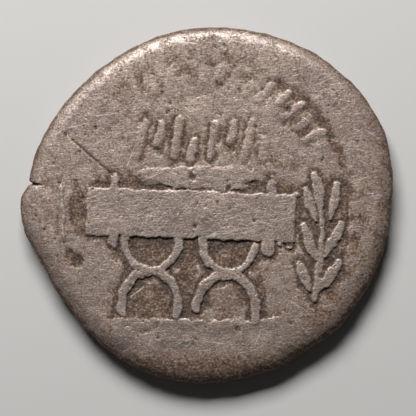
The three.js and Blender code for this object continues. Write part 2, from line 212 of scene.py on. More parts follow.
# Wider hollows in the field, by middle, half sizes, depth and reach of the bank
HOLLOWS = [
    (-6.62, -0.3, 0.34, 1.15, 0.06, 0.35), (-7.65, -0.5, 0.12, 0.8, 0.035, 0.3),
    (4.72, -0.6, 0.12, 1.2, 0.09, 0.25), (5.8, -1.5, 0.85, 2.7, 0.06, 0.45),
    (6.95, -0.7, 0.2, 1.7, 0.06, 0.4), (-5.3, 0.95, 0.4, 0.06, 0.07, 0.3),
    (3.95, 0.85, 0.55, 0.12, 0.06, 0.3),
]

# Rows of strokes over the cushion and along the upper edge. Each stroke is cut short by the next of
# the cuts, and the worn rows are bold only in part.
STROKE_HALF = 0.21
STROKE_LEAN = 11
STROKE_CUTS = [(0, 1), (0.42, 1), (0, 1), (0, 0.55)]
LEAN_SPREAD, CUT_SPREAD, HALF_SPREAD = 4, 0.06, (0.85, 1.1)
STRAIGHT_LEFT, STRAIGHT_RIGHT, STRAIGHT_FOOT, STRAIGHT_HEAD, STRAIGHT_COUNT = -3.4, 3.0, 2.5, 4.2, 8
STRAIGHT_APPEARS, STRAIGHT_FADES, STRAIGHT_FADED = (-4.4, -2.8), (1.0, 3.2), 0.6
CURVED_FROM, CURVED_TO, CURVED_FOOT, CURVED_HEAD, CURVED_COUNT = 122, 26, 5.95, 7.0, 13
CURVED_APPEARS, CURVED_FAINT, CURVED_BOLDER = (80, 50), 0.27, 0.55
STRAIGHT_SEED, CURVED_SEED, RING_SEED = 21, 22, 23

# Pits of the side that shows, by place, half width and depth, and smaller specks strewn over it
PITS = [
    (-0.64, -1.02, 0.1, 0.08), (4.16, -1.94, 0.11, 0.08), (5.76, -3.54, 0.1, 0.08),
    (-2.01, 4.79, 0.11, 0.05), (4.1, 4.92, 0.16, 0.06), (0.64, 6.2, 0.17, 0.05),
    (0.5, 6.3, 0.1, 0.05), (3.14, 6.4, 0.08, 0.05), (2.78, 5.93, 0.08, 0.05),
    (-5.69, 3.98, 0.1, 0.05), (-7.18, 3.67, 0.1, 0.05), (-6.98, -2.4, 0.2, 0.09),
    (-6.62, -2.75, 0.27, 0.11), (-8.2, -2.65, 0.07, 0.04), (-8.7, -0.5, 0.07, 0.04),
    (-7.9, -3.05, 0.08, 0.04), (1.5, -6.2, 0.16, 0.05), (0.84, -8.0, 0.12, 0.04),
]
SPECK_COUNT, SPECK_SEED, SPECK_FIELD = 150, 31, 8.6
SPECK_HALVES, SPECK_DEPTHS, SPECK_REACH = (0.03, 0.09), (0.015, 0.05), 4

# Long cut at the upper left, short bright scratches, a curved dent under the left foot, and the crack
# at the edge, which also cuts into the side at its bearing. Sides are signed distances, where a mark
# starts and where it is whole.
GROOVE, GROOVE_SIDES, GROOVE_DEPTH = [(-6.86, 3.37), (-4.82, 1.58)], (0.058, 0.008), 0.06
SCRATCHES = [
    ((-3.93, -4.64), (-3.24, -4.1)), ((4.05, 2.45), (5.02, 2.8)), ((-0.45, -1.64), (0.45, -1.44)),
    ((0.3, -1.36), (1.8, -1.2)), ((-8.1, -1.1), (-7.7, -1.3)), ((6.3, 3.4), (6.9, 3.2)),
]
SCRATCH_SIDES = (0.07, 0.02)
DENT, DENT_HALVES = (-3.3, -4.9, 1.15, 1.48, 266, 312), 0.05
DENT_SIDES, DENT_DEPTH = (0.12, -0.05), 0.025
CRACK_PATH = [(-9.5, 1.2), (-8.9, 1.14), (-8.6, 1.09), (-8.35, 1.06)]
CRACK_HALVES = [0.06, 0.05, 0.025, 0.0]
CRACK_SIDES, CRACK_OPENS, CRACK_DEPTH = (0.04, -0.05), (-8.2, -8.8), 0.45
CRACK_BEARING, CRACK_HALF, CRACK_IN = 172.7, 0.4, 0.3

# Unevenness, as noises of this spread, size and seed, with the peaks that show or the depth where
# the noise starts to count
WANDER_X = [(0.028, 1.3, 1), (0.01, 0.4, 2)]
WANDER_Y = [(0.028, 1.3, 3), (0.01, 0.4, 4)]
ROUGH_EDGES = [(0.005, 0.18, 5), (0.014, 0.55, 6)]
UNEVEN_HOLLOWS, UNEVEN_LEAST, UNEVEN_MOST = [(0.25, 1.2, 7), (0.12, 0.4, 8)], 0.45, 1.7
HAMMERED = [(0.007, 2.6, 9), (0.0015, 0.8, 10), (0.0012, 0.3, 11)]
PORES, PORE_PEAKS, PORE_DEPTH = [(1, 0.22, 12)], (1.2, 2.6), 0.008
COARSE_FLOOR, COARSE_FROM = [(0.004, 0.16, 13)], (0.02, 0.1)
RAGGED_POCKETS = [(0.05, 0.4, 43)]
UNEVEN_CUSHION = [(0.0025, 0.5, 47)]
UNEVEN_GROUND = [(0.05, 0.7, 44), (0.02, 0.25, 45)]
GROUND_WEAR, GROUND_WORN = [(1, 1.6, 46)], (-1.2, 1.2)
WANDER_BELOW_X = [(0.04, 1.3, 51)]
WANDER_BELOW_Y = [(0.04, 1.3, 52)]
ROUGH_BELOW = [(0.02, 0.3, 53)]
HAMMERED_BELOW = [(0.012, 2.2, 54), (0.006, 0.6, 55), (0.004, 0.25, 56)]
HAMMERED_SKIN = [(0.014, 1.1, 61), (0.003, 0.35, 62)]

# Dirt in the hollows, as a share: depth that holds it and how patchy it is, with painted shade close
# to a form and a painted shadow on the side just under one
DIRTY_DEPTH = (0.01, 0.11)
DISHED_BLUR, DISHED_SHARE = 0.28, 0.5
DIRT_SHARE, PATCHY_DIRT = 0.5, [(0.07, 0.9, 14), (0.04, 0.25, 15)]
CORNER_BLUR = 0.09
SHADED, SHADED_BLUR, SHADED_SHARE = 0.2, 0.18, 1.4
SCAR_DEPTH = (0.01, 0.035)
# Grime and painted shade down the coin's side, and the shares of the shoulder's height where it fades out
SIDE_GRIME_AND_SHADE, SIDE_GRIME_AND_SHADE_HEIGHT = 0.75, (0.95, 0.6)

# Films of dirt on the worn surface: an even one with spots (share, size, seed and peaks that show),
# and places with more, by middle, half sizes, share and width of the fading edge
EVEN_FILM = 0.17
FILM_SPOTS = [(0.12, 0.6, 18, (0.6, 2.2)), (0.14, 0.26, 19, (0.8, 2.4))]
FILMS = [
    (6.8, -1.2, 0.9, 2.6, 0.4, 1.3), (-1.3, 5.75, 1.7, 0.4, 0.25, 0.8),
    # The film along the foot, at (0, -8.1), is painted shade
    (0.0, -8.1, 3.0, 0.3, 0.35, 0.9), (-7.8, -0.3, 0.9, 1.6, 0.26, 0.9),
    (-5.0, 1.7, 0.9, 0.4, 0.3, 0.6), (3.7, 2.0, 0.8, 0.6, 0.28, 0.6),
    (4.9, 4.7, 0.7, 0.7, 0.34, 0.7), (-0.6, 3.1, 2.4, 0.6, 0.22, 0.6),
    (-6.6, -0.2, 0.4, 1.0, 0.42, 0.5), (-6.8, -2.6, 0.3, 0.3, 0.45, 0.35),
]
UNEVEN_FILM = [(0.35, 1.1, 16), (0.2, 0.35, 17)]
FILM_OFF_FORMS = 0.75

# Films along the edge, by bearing and by distance in from the edge (painted shade at the foot, on
# the right and towards the bottom, dirt at the top), and the clean field over the strokes on the right
FOOT_SHADE, FOOT_BEARING, FOOT_POWER, FOOT_IN = 0.48, 300, 1.5, (0.4, 0.8, 1.8, 3.4)
RIGHT_SHADE, RIGHT_BEARING, RIGHT_POWER, RIGHT_IN = 0.5, 2, 6, (1.6, 0.3)
UPPER_FILM, UPPER_BEARINGS, UPPER_IN = 0.34, (55, 75, 125, 150), (0.9, 1.4, 2.4, 4.0)
LOWEST_SHADE, LOWEST_FROM, UNEVEN_LOWEST = 0.6, (-6.9, -8.0), [(0.25, 0.35, 17)]
CLEAN_MIDDLE, CLEAN_HALF, CLEAN_FADES, CLEANED = (1.7, 4.9), (2.6, 0.6), 1.2, 0.5

# Rub and highlight: the brightness of what stands proud of its surroundings, from wear, and a
# painted highlight on the rim at the top. In a scratch it is more than 1.
RUB_BLUR, RUB_HEIGHT = 0.14, (0.005, 0.035)
HIGHLIGHT_BEARINGS, HIGHLIGHT_IN = (45, 70, 140, 170), (0.1, 0.3, 0.6, 0.95)
SCRATCH_RUB = 2

# Underside
BOSS_RADIUS = 1.5
WREATH_RADIUS, WREATH_PAIRS, WREATH_LEAN, WREATH_GAP = 4.2, 13, 24, 0.32
WREATH_LENGTH, WREATH_HALF = 1.7, 0.3
RING_FOOT, RING_HEAD, RING_COUNT = 6.05, 6.85, 24
BANK_BELOW = (0.1, -0.06)
LEAST_BELOW = 0.01
DIRT_BELOW, PATCHY_BELOW = 0.6, [(0.2, 0.8, 57)]
RUB_BELOW = (0.004, 0.05)

# Silver, from its dark and pale clouds to its tarnish, rubbed tops with the painted highlight of the top
# rim, dark grain and bright flecks
DARK_CLOUD = (0.372, 0.29, 0.256, 1)
PALE_CLOUD = (0.485, 0.378, 0.316, 1)
TARNISH = (0.23, 0.18, 0.165, 1)
RUBBED_AND_HIGHLIT_SILVER = (0.62, 0.54, 0.49, 1)
DARK_SAND = (0.12, 0.085, 0.068, 1)
DARK_STREAK = (0.14, 0.105, 0.088, 1)
BRIGHT_FLECK = (0.85, 0.76, 0.69, 1)

# Sizes of the bumps in the silver's noises, and how far and which way the streaks are drawn out
CLOUD_SIZE, PATCH_SIZE, SAND_SIZE, PORE_SIZE = 3.0, 0.8, 0.085, 0.2
STREAK_SIZE, STREAK_STRETCH, STREAK_BEARING = 0.06, 8, 5
FLOW_SIZE, FLOW_STRETCH = 0.1, 12
GRAIN_HEIGHT = 0.012

# Fine scratches all over: size of the pattern's cells, half length, half width and the pattern's
# shift. A scratch turns by so many radians over its chance, from the chance that leaves it level, and
# past another chance it turns steeply.
LONG_SCRATCHES = (1.3, 0.75, 0.024, 3)
SHORT_SCRATCHES = (0.6, 0.3, 0.022, 7)
SCRATCH_TURN, LEVEL_CHANCE, STEEP_CHANCE, STEEP_TURN = 1.3, 0.45, 0.78, -1.0

# Dirt, thin and thick, also the colour of the painted shade, the pale grains in it, and the sizes of its
# crumbs and its grit
THIN_DIRT_AND_SHADE = (0.112, 0.056, 0.029, 1)
THICK_DIRT_AND_SHADE = (0.022, 0.009, 0.004, 1)
PALE_GRAINS = (0.4, 0.27, 0.175, 1)
CRUMB_SIZE, GRIT_SIZE = 0.28, 0.13

# Camera: straight above, framing as much as the photograph does
CAMERA_MIDDLE = (0.03, -0.1)
FRAME_WIDTH = 21.2
FRAME_HEIGHT_OVER_GROUND = 1.1
LENS, SENSOR = 180, 36

# Studio: a lamp up and to the left of the design's top, a faint world and a pale floor
LAMP_PLACE, LAMP_WIDTH, LAMP_DEPTH, LAMP_WATTS = (-28, 113, 104), 90, 50, 0.35
WORLD_COLOUR, WORLD_STRENGTH = (1, 0.98, 0.96, 1), 0.03
FLOOR_HALF, FLOOR_LEVEL, FLOOR_COLOUR, FLOOR_ROUGHNESS = 1000, -0.02, (0.6, 0.59, 0.575, 1), 0.9


def smooth(low, high, value):
    """Rises from 0 at low to 1 at high: t t (3 - 2 t), where t is how far value is on its way."""
    t = np.clip((value - low) / (high - low), 0, 1)
    return t * t * (3 - 2 * t)


def between(starts, full, eases, ends, value):
    """Rises from 0 to 1, holds and falls back: the product of one smooth step up and one down."""
    return smooth(starts, full, value) * smooth(ends, eases, value)


def towards(middle, power, bearing):
    """1 at a bearing and 0 across from it: half of 1 plus the cosine between them, to a power."""
    return ((1 + np.cos(np.radians(bearing - middle))) / 2) ** power


def frequencies(shape, spacing):
    """Waves per millimetre of an array's spectrum, down its rows and along them."""
    return np.fft.fftfreq(shape[0], spacing[0])[:, None], np.fft.rfftfreq(shape[1], spacing[1])[None, :]


def grain(shape, spacing, size, seed):
    """Noise of mean 0 and spread 1 whose bumps are about a size across: random numbers whose spectrum
    is weighed by q q exp(-q q), q being frequency times size."""
    down, along = frequencies(shape, spacing)
    weight = size ** 2 * (along ** 2 + down ** 2)
    spectrum = np.fft.rfft2(np.random.default_rng(seed).normal(size=shape))
    found = np.fft.irfft2(spectrum * weight * np.exp(-weight), shape)
    return found / found.std()


def noises(parts, shape=(MAP_POINTS, MAP_POINTS), spacing=(MAP_STEP, MAP_STEP)):
    """The sum of several noises, each with its own spread, size and seed."""
    return sum(spread * grain(shape, spacing, size, seed) for spread, size, seed in parts)


def soften(values, size):
    """A map blurred by a bell of this spread: its spectrum times exp(-2 (pi size frequency)^2)."""
    down, along = frequencies(values.shape, (MAP_STEP, MAP_STEP))
    bell = np.exp(-2 * (math.pi * size) ** 2 * (down ** 2 + along ** 2))
    return np.fft.irfft2(np.fft.rfft2(values) * bell, values.shape)


def map_places():
    """X and Y of each point of a map."""
    line = (np.arange(MAP_POINTS) - (MAP_POINTS - 1) / 2) * MAP_STEP
    return np.meshgrid(line, line)


def read(values, x, y):
    """A map's value at any places, blended from the four map points round each."""
    most = MAP_POINTS - 1
    across = np.clip(x / MAP_STEP + most / 2, 0, most - 1e-6)
    up = np.clip(y / MAP_STEP + most / 2, 0, most - 1e-6)
    column, row = across.astype(int), up.astype(int)
    right, over = across - column, up - row
    lower = values[row, column] * (1 - right) + values[row, column + 1] * right
    upper = values[row + 1, column] * (1 - right) + values[row + 1, column + 1] * right
    return lower * (1 - over) + upper * over


def band(x, y, path, halves):
    """Signed distance to a band along a path with a half width at each point: for each straight run,
    distance to its nearest point less the half width there, and the least of these."""
    path = np.asarray(path, float)
    halves = np.broadcast_to(halves, len(path))
    found = np.full(x.shape, FAR)
    low, high = path.min(axis=0) - NEAR, path.max(axis=0) + NEAR
    at = (x > low[0]) & (x < high[0]) & (y > low[1]) & (y < high[1])
    nx, ny = x[at], y[at]
    best = np.full(nx.shape, FAR)
    for start, end, first, last in zip(path[:-1], path[1:], halves[:-1], halves[1:]):
        run = end - start
        share = ((nx - start[0]) * run[0] + (ny - start[1]) * run[1]) / (run @ run)
        share = np.clip(share, 0, 1)
        away = np.hypot(nx - start[0] - share * run[0], ny - start[1] - share * run[1])
        best = np.minimum(best, away - first - share * (last - first))
    found[at] = best
    return found


def arc(x, y, across, down, start, end, steps=20):
    """Points along an ellipse from one bearing to another."""
    turn = np.radians(np.linspace(start, end, steps + 1))
    return np.stack([x + across * np.cos(turn), y + down * np.sin(turn)], axis=1)


def plate(u, v, half, corner):
    """Signed distance to a box with round corners."""
    over_u = np.abs(u) - half[0] + corner
    over_v = np.abs(v) - half[1] + corner
    outside = np.hypot(np.maximum(over_u, 0), np.maximum(over_v, 0))
    return outside + np.minimum(np.maximum(over_u, over_v), 0) - corner


def oval(x, y, middle, half):
    """Roughly the signed distance to an ellipse: how far out a place is as a share of the way to the
    ellipse, less 1, times its mean half size."""
    share = np.hypot((x - middle[0]) / half[0], (y - middle[1]) / half[1])
    return (share - 1) * (half[0] + half[1]) / 2


def leaf(x, y, foot, tip, half):
    """Signed distance to a blunt leaf: a band from foot to tip whose half width is part of a sine."""
    share = np.linspace(0, 1, LEAF_POINTS)
    path = np.outer(1 - share, foot) + np.outer(share, tip)
    swell = np.sin(np.pi * (LEAF_SINE_FROM + LEAF_SINE_SPAN * share)) ** LEAF_SINE_POWER
    return band(x, y, path, half * swell)


def seat_frame(x, y):
    """Coordinates along and across the tilted seat."""
    tilt = math.radians(SEAT_TILT)
    dx, dy = x - SEAT_MIDDLE[0], y - SEAT_MIDDLE[1]
    return dx * math.cos(tilt) + dy * math.sin(tilt), dy * math.cos(tilt) - dx * math.sin(tilt)


def flan_radius(bearing):
    """Distance from the middle to the edge: mean radius, waves, bell-shaped marks and the lip."""
    radius = np.full_like(bearing, MEAN_RADIUS)
    for lobes, rise, peak in OUTLINE_WAVES:
        radius += rise * np.cos(np.radians(lobes * (bearing - peak)))
    for peak, spread, out in EDGE_MARKS:
        turn = (bearing - peak + 540) % 360 - 180
        radius += out * np.exp(-((turn / spread) ** 2))
    lip = smooth(LIP_STARTS, LIP_FULL, bearing) - smooth(LIP_EASES, LIP_ENDS, bearing)
    return radius + LIP_OUT * lip


def shoulder_above(bearing):
    """Width of the rounded shoulder above the waist, narrow for most of the way and wide at the foot."""
    widening = towards(WIDEST_BEARING, WIDENING_POWER, bearing)
    return SHOULDER_NARROW + (SHOULDER_WIDE - SHOULDER_NARROW) * widening


def straight_strokes(x, y):
    """Signed distance to the row of strokes over the cushion, each with a lean and cuts of its own."""
    chance = np.random.default_rng(STRAIGHT_SEED)
    middle = (STRAIGHT_FOOT + STRAIGHT_HEAD) / 2
    found = np.full(x.shape, FAR)
    for index, left in enumerate(np.linspace(STRAIGHT_LEFT, STRAIGHT_RIGHT, STRAIGHT_COUNT)):
        slope = math.tan(math.radians(STROKE_LEAN + chance.uniform(-LEAN_SPREAD, LEAN_SPREAD)))
        cut = np.array(STROKE_CUTS[index % len(STROKE_CUTS)]) + chance.uniform(-CUT_SPREAD, CUT_SPREAD, 2)
        height = STRAIGHT_FOOT + (STRAIGHT_HEAD - STRAIGHT_FOOT) * cut
        path = np.stack([left + (height - middle) * slope, height], axis=1)
        found = np.minimum(found, band(x, y, path, STROKE_HALF * chance.uniform(*HALF_SPREAD, 2)))
    return found


def spokes(x, y, foot, head, start, end, count, seed):
    """Signed distance to strokes that stand like spokes between two radii, leaning a little."""
    chance = np.random.default_rng(seed)
    middle = (foot + head) / 2
    found = np.full(x.shape, FAR)
    for index in range(count):
        cut = np.array(STROKE_CUTS[index % len(STROKE_CUTS)]) + chance.uniform(-CUT_SPREAD, CUT_SPREAD, 2)
        radius = foot + (head - foot) * cut
        lean = (radius - middle) / middle * (STROKE_LEAN + chance.uniform(-LEAN_SPREAD, LEAN_SPREAD))
        turn = np.radians(start + (end - start) * index / count - lean)
        path = np.stack([radius * np.cos(turn), radius * np.sin(turn)], axis=1)
        found = np.minimum(found, band(x, y, path, STROKE_HALF * chance.uniform(*HALF_SPREAD, 2)))
    return found


class Carving:
    """Relief built up form by form: what stands, and what is sunk into the worn field round each."""

    def __init__(self, field, rough, uneven):
        self.field = field
        self.rough = rough
        self.uneven = uneven
        self.inside = np.zeros(field.shape)
        self.top = np.zeros(field.shape)
        self.low = np.zeros(field.shape)

    def form(self, away, rise, bank, crown=CROWN):
        """A form of this rise, where away is its signed distance. Its bank has an uneven line, and
        its edge is lower by the crown's share, which dies away inwards as an exponential."""
        away = away + self.rough
        standing = smooth(bank / 2, -bank / 2, away)
        worn = 1 - crown * np.exp(np.minimum(away, 0) / CROWN_WIDTH)
        self.top = np.maximum(self.top, standing * rise * worn)
        self.inside = np.maximum(self.inside, standing)

    def hollow(self, away, depth, reach):
        """A hollow as deep as this where away is 0 or less, which rises to the field within the reach."""
        share = EVEN_SHARE + (1 - EVEN_SHARE) * self.uneven
        sunk = depth * share * smooth(reach, 0, np.maximum(away, 0) / self.uneven)
        self.low = np.maximum(self.low, sunk)

    def oval_hollows(self, x, y, table):
        for middle_x, middle_y, half_x, half_y, depth, reach in table:
            self.hollow(oval(x, y, (middle_x, middle_y), (half_x, half_y)), depth, reach)

    def sunk(self):
        """Depth of the hollows, blurred a little, and nothing where a form stands."""
        return soften(self.low, SUNK_BLUR) * (1 - self.inside)

    def height(self):
        """Height over the dome: the forms, the field between them, and the unfilled hollows in it."""
        return self.top + self.field * (1 - self.inside) - (1 - FILLED) * self.sunk()


def chair(carving, x, y):
    """The seat as a box and its posts, knobs and legs as bands, with hollows round them, cups between
    the legs and a channel between the two pairs."""
    u, v = seat_frame(x, y)
    frame_away = np.full(x.shape, FAR)
    for place, foot, head, half in POSTS + KNOBS:
        frame_away = np.minimum(frame_away, band(u, v, [(place, foot), (place, head)], half))
    legs_away = np.full(x.shape, FAR)
    for leg, half in LEGS:
        legs_away = np.minimum(legs_away, band(u, v, arc(*leg), half))
    for left, right, level, half in LEG_KNOTS:
        legs_away = np.minimum(legs_away, band(u, v, [(left, level), (right, level)], half))
    seat_away = plate(u, v, SEAT_HALF, SEAT_CORNER)
    carving.form(frame_away, SEAT_RISE, FRAME_BANK)
    carving.form(legs_away, LEG_RISE, FRAME_BANK)
    carving.form(seat_away, SEAT_RISE, SEAT_BANK, SEAT_CROWN)
    carving.hollow(seat_away, *SEAT_HOLLOW)
    carving.hollow(frame_away, *FRAME_HOLLOW)
    carving.hollow(legs_away, *LEG_HOLLOW)
    carving.oval_hollows(u, v, CUPS)
    carving.hollow(band(u, v, BETWEEN_PAIRS, BETWEEN_HALF), *BETWEEN_HOLLOW)


def cushion(carving, x, y):
    """A low cushion whose lower side is worn into the seat, with dirty pockets left between them."""
    u, v = seat_frame(x, y)
    roll, foot = band(u, v, CUSHION, CUSHION_HALVES), band(u, v, CUSHION_FOOT, CUSHION_FOOT_HALF)
    away = np.minimum(roll, foot)
    ragged = noises(RAGGED_POCKETS)
    for middle_u, middle_v, half_u, half_v, depth, reach in POCKETS:
        pocket = oval(u, v, (middle_u, middle_v), (half_u, half_v)) + ragged
        away = np.maximum(away, POCKET_EDGE - pocket)
        carving.hollow(pocket, depth, reach)
    carving.form(away, CUSHION_RISE + noises(UNEVEN_CUSHION), CUSHION_BANK, crown=0)
    carving.hollow(np.maximum(away, CUSHION_HOLLOW_OVER - v), *CUSHION_HOLLOW)


def branch(carving, x, y):
    """The stem as a band along its path and the blunt leaves beside it, with a hollow round them all."""
    away = band(x, y, STEM, STEM_HALVES)
    for foot, tip, half in LEAVES:
        away = np.minimum(away, leaf(x, y, foot, tip, half))
    carving.form(away, LEAF_RISE, BRANCH_BANK, crown=0)
    carving.hollow(away, *BRANCH_HOLLOW)


def worn_row(carving, away, bold, hollow):
    """A row of strokes, as high over the field and as deep in it as it is bold."""
    depth, reach = hollow
    carving.form(away, FIELD_RISE + (STROKE_RISE - FIELD_RISE) * bold, STROKE_BANK, crown=0)
    carving.hollow(away, depth * bold, reach)


def strokes(carving, x, y):
    """The rows of strokes, worn nearly level with the field, with dirt between them."""
    bold = smooth(*STRAIGHT_APPEARS, x) * (1 - STRAIGHT_FADED * smooth(*STRAIGHT_FADES, x))
    worn_row(carving, straight_strokes(x, y), bold, STRAIGHT_HOLLOW)
    bold = CURVED_FAINT + CURVED_BOLDER * smooth(*CURVED_APPEARS, np.degrees(np.arctan2(y, x)))
    away = spokes(x, y, CURVED_FOOT, CURVED_HEAD, CURVED_FROM, CURVED_TO, CURVED_COUNT, CURVED_SEED)
    worn_row(carving, away, bold, CURVED_HOLLOW)


def ground_and_border(carving, x, y):
    """The ground under the chair, the recess of the border on the right and its ridge on the left."""
    line = np.interp(x, *np.transpose(GROUND_LINE))
    away = np.maximum(y - line, np.abs(x) - GROUND_HALF) + noises(UNEVEN_GROUND)
    swell = GROUND_RISE * smooth(*GROUND_SWELLS_UP, y) * smooth(*GROUND_SWELLS_IN, np.abs(x))
    kept = smooth(*GROUND_WORN, noises(GROUND_WEAR))
    carving.form(away, carving.field + swell * kept, GROUND_BANK, crown=0)
    depth, reach = GROUND_HOLLOW
    carving.hollow(away, depth * kept, reach)
    sector = between(*BORDER_BEARINGS, np.degrees(np.arctan2(y, x)))
    off_ring = np.maximum(np.abs(np.hypot(x, y) - BORDER_RADIUS) - BORDER_HALF, 0)
    carving.hollow(off_ring + (1 - sector), *BORDER_HOLLOW)
    carving.form(band(x, y, RIDGE, RIDGE_HALF), RIDGE_RISE, RIDGE_BANK)


def pit(x, y, middle_x, middle_y, half, depth):
    """Depth of a pit: a bell."""
    return depth * np.exp(-((x - middle_x) ** 2 + (y - middle_y) ** 2) / half ** 2)


def marks(x, y):
    """Depth of the pits, specks, cut, dent and crack."""
    depth = GROOVE_DEPTH * smooth(*GROOVE_SIDES, band(x, y, GROOVE, 0))
    depth = np.maximum(depth, DENT_DEPTH * smooth(*DENT_SIDES, band(x, y, arc(*DENT), DENT_HALVES)))
    split = smooth(*CRACK_SIDES, band(x, y, CRACK_PATH, CRACK_HALVES))
    depth = np.maximum(depth, CRACK_DEPTH * split * smooth(*CRACK_OPENS, x))
    for middle_x, middle_y, half, deep in PITS:
        depth = np.maximum(depth, pit(x, y, middle_x, middle_y, half, deep))
    chance = np.random.default_rng(SPECK_SEED)
    for _ in range(SPECK_COUNT):
        bearing, share = chance.uniform(0, 2 * math.pi), math.sqrt(chance.uniform(0, 1))
        half, deep = chance.uniform(*SPECK_HALVES), chance.uniform(*SPECK_DEPTHS)
        middle_x = SPECK_FIELD * share * math.cos(bearing)
        middle_y = SPECK_FIELD * share * math.sin(bearing)
        reach = SPECK_REACH * half
        near = (np.abs(x - middle_x) < reach) & (np.abs(y - middle_y) < reach)
        depth[near] = np.maximum(depth[near], pit(x[near], y[near], middle_x, middle_y, half, deep))
    return depth


def film_and_shade_above(inside, bearing, depth_in, x, y):
    """Share of thin dirt and painted shade on the worn surface: the most of the even film with its
    spots, the films at their places and those along the edge, of which those at the foot and on the
    right are painted shade, made uneven, thinner on the forms and the clean field, and at least the
    painted shade that grows darker towards the bottom."""
    film_and_shade = EVEN_FILM
    for share, size, seed, peaks in FILM_SPOTS:
        film_and_shade = film_and_shade + share * smooth(*peaks, noises([(1, size, seed)]))
    for middle_x, middle_y, half_x, half_y, share, fading in FILMS:
        away = oval(x, y, (middle_x, middle_y), (half_x, half_y))
        film_and_shade = np.maximum(film_and_shade, share * smooth(fading, 0, away))
    # Painted shade along the foot and the right edge, the sides turned away from the lamp
    foot = towards(FOOT_BEARING, FOOT_POWER, bearing) * between(*FOOT_IN, depth_in)
    right = towards(RIGHT_BEARING, RIGHT_POWER, bearing) * smooth(*RIGHT_IN, depth_in)
    upper = between(*UPPER_BEARINGS, bearing) * between(*UPPER_IN, depth_in)
    for share, side in ((FOOT_SHADE, foot), (RIGHT_SHADE, right), (UPPER_FILM, upper)):
        film_and_shade = np.maximum(film_and_shade, share * side)
    clean = CLEANED * smooth(CLEAN_FADES, 0, oval(x, y, CLEAN_MIDDLE, CLEAN_HALF))
    film_and_shade = film_and_shade * (1 + noises(UNEVEN_FILM)) * (1 - FILM_OFF_FORMS * inside) * (1 - clean)
    # Painted shade, darker towards the bottom of the coin
    return np.maximum(film_and_shade, LOWEST_SHADE * smooth(*LOWEST_FROM, y) * (1 + noises(UNEVEN_LOWEST)))


def dirt_and_shade_above(sunk, height, inside):
    """Share of dirt and painted shade in the hollows: how deep a place is sunk and dished, times a
    patchy share of dirt plus painted shade close to a form and a painted shadow on the side under one."""
    dished = DISHED_SHARE * (soften(height, DISHED_BLUR) - height)
    patchy = DIRT_SHARE + noises(PATCHY_DIRT)
    # Painted shade close to each form, and a painted shadow from the forms' map moved down, so that the
    # side just under each form is darker
    shadow_under = np.roll(inside, -round(SHADED / MAP_STEP), axis=0)
    shade_near_forms = soften(inside, CORNER_BLUR) + SHADED_SHARE * soften(shadow_under, SHADED_BLUR)
    return smooth(*DIRTY_DEPTH, sunk + dished) * (patchy + shade_near_forms * (1 - inside))


def rub_and_highlight_above(height, bearing, depth_in, x, y):
    """Rub and highlight of the side that shows: rub of high spots, a painted highlight on the rim at the
    top, and the scratches.
    """
    rub_and_highlight = smooth(*RUB_HEIGHT, height - soften(height, RUB_BLUR))
    # Painted highlight on the rim at the top, on the lamp's side
    rub_and_highlight = np.maximum(rub_and_highlight, between(*HIGHLIGHT_BEARINGS, bearing) * between(*HIGHLIGHT_IN, depth_in))
    for start, end in SCRATCHES:
        rub_and_highlight = np.maximum(rub_and_highlight, SCRATCH_RUB * smooth(*SCRATCH_SIDES, band(x, y, [start, end], 0)))
    return rub_and_highlight


def face_above():
    """Maps of the side that shows: height over the dome, grime and painted shade from 0 to 1, and rub
    with a painted highlight. The forms are laid out on places that wander a little, so that no line is
    quite true."""
    x, y = map_places()
    wandering = x + noises(WANDER_X), y + noises(WANDER_Y)
    bearing = np.degrees(np.arctan2(y, x)) % 360
    depth_in = flan_radius(bearing) - np.hypot(x, y)
    field = FIELD_RISE * smooth(*FIELD_STARTS_IN, depth_in)
    uneven = np.clip(1 + noises(UNEVEN_HOLLOWS), UNEVEN_LEAST, UNEVEN_MOST)
    carving = Carving(field, noises(ROUGH_EDGES), uneven)
    for part in (chair, cushion, branch, strokes, ground_and_border):
        part(carving, *wandering)
    carving.oval_hollows(*wandering, HOLLOWS)
    sunk = carving.sunk()
    scars = marks(x, y)
    pores = PORE_DEPTH * smooth(*PORE_PEAKS, noises(PORES))
    pores = pores + noises(COARSE_FLOOR) * smooth(*COARSE_FROM, sunk)
    height = carving.height() + noises(HAMMERED) - pores - scars
    grime_and_shade = dirt_and_shade_above(sunk, height, carving.inside)
    grime_and_shade = grime_and_shade + film_and_shade_above(carving.inside, bearing, depth_in, *wandering)
    grime_and_shade = np.clip(grime_and_shade + smooth(*SCAR_DEPTH, scars), 0, 1)
    return height, grime_and_shade, rub_and_highlight_above(height, bearing, depth_in, x, y)


def wreath(x, y):
    """Signed distance to pairs of leaves that stand round a circle and lean to its two sides."""
    away = np.full(x.shape, FAR)
    for pair, side in itertools.product(range(WREATH_PAIRS), (-1, 1)):
        start = math.radians(360 / WREATH_PAIRS * pair)
        way = start + math.radians(90 + side * WREATH_LEAN)
        radius = WREATH_RADIUS - side * WREATH_GAP / 2
        foot = (radius * math.cos(start), radius * math.sin(start))
        tip = (foot[0] + WREATH_LENGTH * math.cos(way), foot[1] + WREATH_LENGTH * math.sin(way))
        away = np.minimum(away, leaf(x, y, foot, tip, WREATH_HALF))
    return away


